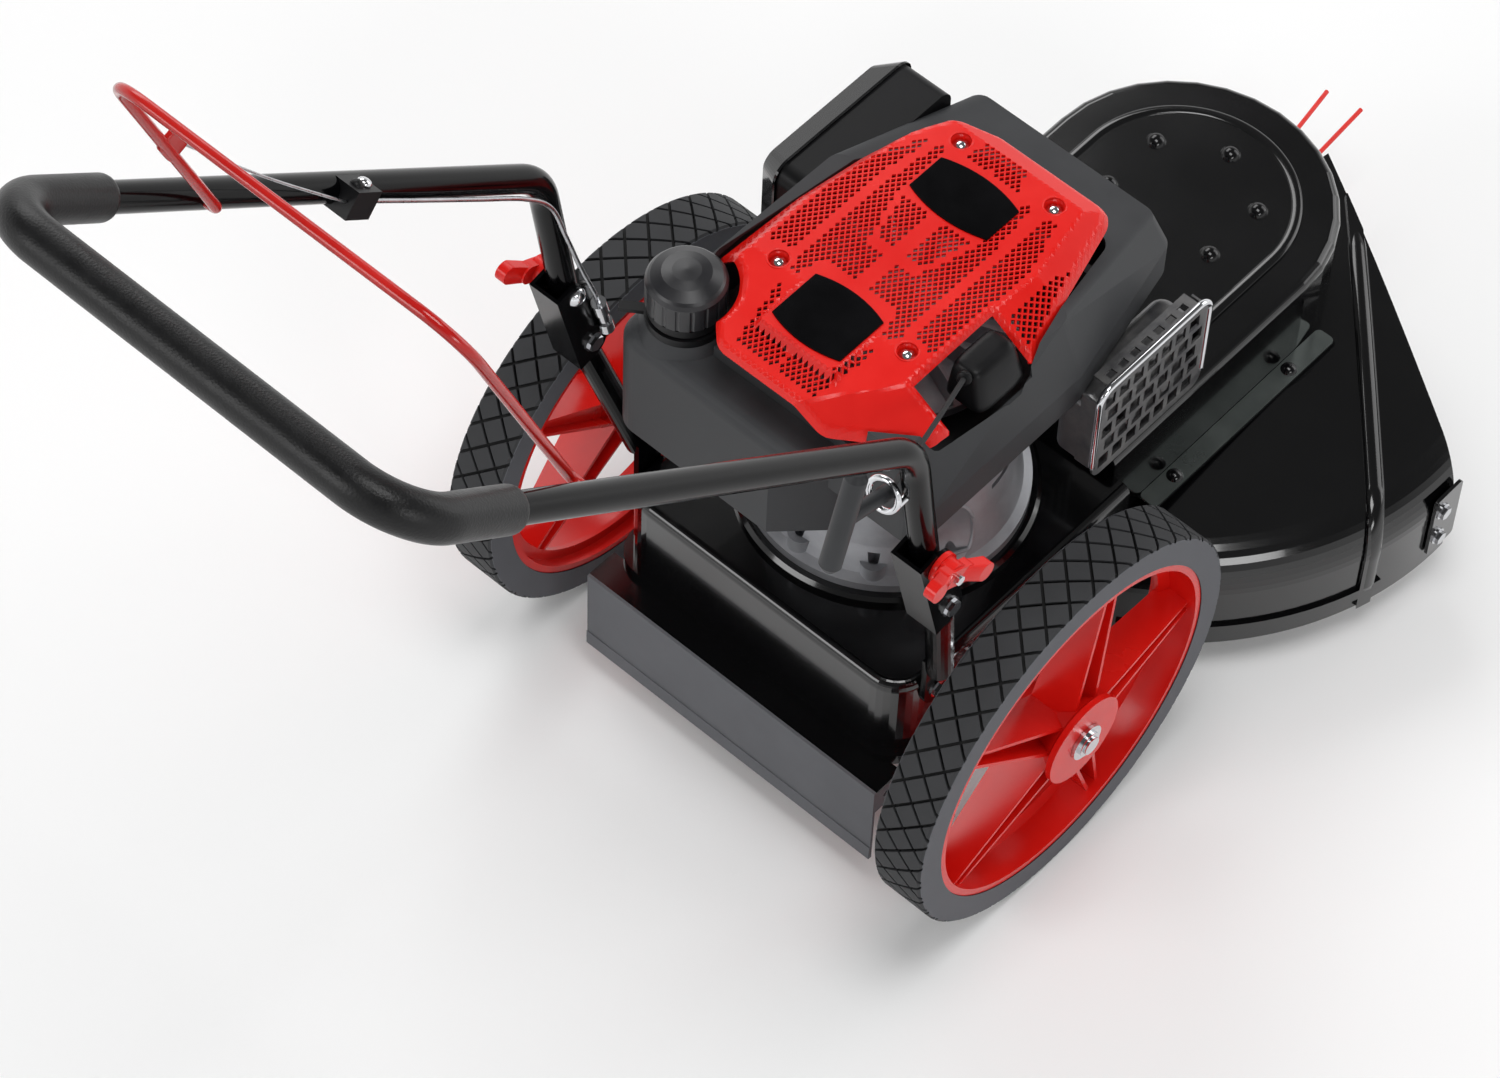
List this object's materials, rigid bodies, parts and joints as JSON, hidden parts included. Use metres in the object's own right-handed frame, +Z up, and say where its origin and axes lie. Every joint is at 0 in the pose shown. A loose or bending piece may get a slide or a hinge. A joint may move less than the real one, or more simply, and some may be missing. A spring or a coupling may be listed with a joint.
{
  "type": "wheeled string trimmer",
  "caption": "Walk-behind wheeled string trimmer: pressed deck, petrol engine over a two-wheel axle, belt-driven line head under a side guard and a folding handle with a control bail.",
  "frame": {"origin": "on the ground under the cutting spindle, at the middle of the glide dish", "axes": "+X to the machine's right, +Y forward, +Z up"},
  "size_m": [0.5636, 1.3422, 1.1042],
  "materials": {
    "black_steel": "gloss black enamel on pressed steel",
    "zinc_steel": "zinc plated steel, dull",
    "grey_plastic": "fine grained dark grey moulding",
    "black_plastic": "fine grained black moulding",
    "black_gloss": "smooth black moulding",
    "red_plastic": "smooth red moulding",
    "red_paint": "gloss red coating on steel rod",
    "cast_aluminium": "fine cast skin",
    "chrome": "bright plated",
    "grey_rubber": "flat grey rubber sheet",
    "tyre": "dull grey sidewall and dark tread",
    "foam": "closed cell foam sleeve",
    "belt": "fabric backed belt",
    "nylon_line": "extruded red nylon",
    "rope": "braided cord",
    "cable": "black sheath and bare wire"
  },
  "bodies": {
    "chassis": {"main_deck": "black_steel", "rear_skirt": "grey_rubber", "belt_cover": "black_steel", "side_guard": "black_steel", "guard_strip": "zinc_steel", "guard_strip_screws": "black_gloss", "guard_end_plate": "black_steel", "guard_plate_bolts": "chrome", "spindle_housing": "cast_aluminium", "spindle_bolts": "black_gloss", "spindle_bearings": "chrome", "v_belt": "belt", "engine_seat": "black_steel", "crankcase": "cast_aluminium", "cylinder_block": "cast_aluminium", "engine_shroud": "grey_plastic", "engine_cover": "red_plastic", "cover_screws": "chrome", "cover_badges": "black_plastic", "fuel_tank": "grey_plastic", "cap_tether": "black_plastic", "filter_base": "black_plastic", "filter_cover": "black_gloss", "muffler": "zinc_steel", "muffler_guard": "zinc_steel", "starter_outlet": "black_plastic", "axle": "chrome", "axle_spacers": "chrome", "axle_caps": "chrome", "left_strut": "black_steel", "right_strut": "black_steel", "left_bracket": "black_steel", "right_bracket": "black_steel", "strut_bolts": "chrome", "fold_bolts": "chrome", "cable_adjuster": "chrome"},
    "left_wheel": {"left_tyre": "tyre", "left_rim": "red_plastic"},
    "right_wheel": {"right_tyre": "tyre", "right_rim": "red_plastic"},
    "crank": {"crankshaft": "zinc_steel", "engine_pulley": "cast_aluminium", "flywheel_fan": "cast_aluminium"},
    "cutter": {"spindle_shaft": "zinc_steel", "spindle_pulley": "cast_aluminium", "cutter_head": "black_plastic", "trimmer_lines": "nylon_line"},
    "glide": {"glide_foot": "black_steel"},
    "upper_handle": {"handlebar": "black_steel", "foam_grip": "foam", "cable_clamp": "black_plastic", "control_cable": "cable", "rope_guide": "chrome", "starter_rope": "rope"},
    "bail": {"bail": "red_paint"},
    "left_wing_nut": {"left_knob": "red_plastic"},
    "right_wing_nut": {"right_knob": "red_plastic"},
    "fuel_cap": {"fuel_cap": "black_plastic"},
    "pull_grip": {"starter_grip": "grey_plastic"}
  },
  "joints": [
    {"name": "left_wheel_spin", "type": "hinge", "parent": "chassis", "child": "left_wheel", "pos_m": [0, -0.421, 0.178], "axis": [1, 0, 0], "continuous": true},
    {"name": "right_wheel_spin", "type": "hinge", "parent": "chassis", "child": "right_wheel", "pos_m": [0, -0.421, 0.178], "axis": [1, 0, 0], "continuous": true},
    {"name": "crank_spin", "type": "hinge", "parent": "chassis", "child": "crank", "pos_m": [0, -0.361, 0.2], "axis": [0, 0, 1], "continuous": true},
    {"name": "cutter_spin", "type": "hinge", "parent": "chassis", "child": "cutter", "pos_m": [0, 0, 0.15], "axis": [0, 0, 1], "continuous": true},
    {"name": "glide_spin", "type": "hinge", "parent": "cutter", "child": "glide", "pos_m": [0, 0, 0.03], "axis": [0, 0, 1], "continuous": true},
    {"name": "handle_fold", "type": "hinge", "parent": "chassis", "child": "upper_handle", "pos_m": [0, -0.538, 0.468], "axis": [1, 0, 0], "range_deg": [-135, 0], "deforming": ["control_cable", "starter_rope"]},
    {"name": "bail_pivot", "type": "hinge", "parent": "upper_handle", "child": "bail", "pos_m": [0, -0.88127, 0.8858], "axis": [1, 0, 0], "range_deg": [0, 20], "stiffness_Nm_per_rad": 0.8, "springref_deg": -34.38, "deforming": ["control_cable"]},
    {"name": "left_wing_nut_turn", "type": "hinge", "parent": "chassis", "child": "left_wing_nut", "pos_m": [-0.2, -0.538, 0.468], "axis": [-1, 0, 0], "range_deg": [0, 360]},
    {"name": "right_wing_nut_turn", "type": "hinge", "parent": "chassis", "child": "right_wing_nut", "pos_m": [0.2, -0.538, 0.468], "axis": [1, 0, 0], "range_deg": [0, 360]},
    {"name": "fuel_cap_turn", "type": "hinge", "parent": "chassis", "child": "fuel_cap", "pos_m": [-0.102, -0.485, 0.48], "axis": [0, 0, 1], "range_deg": [0, 120]},
    {"name": "starter_pull", "type": "slide", "parent": "upper_handle", "child": "pull_grip", "axis": [0, -0.9613, 0.2756], "range_m": [0, 0.6], "stiffness_N_per_m": 20, "springref_m": -0.4, "deforming": ["starter_rope"]}
  ],
  "couplings": [
    {"joint": "cutter_spin", "follows": "crank_spin", "ratio": 0.6863}
  ]
}
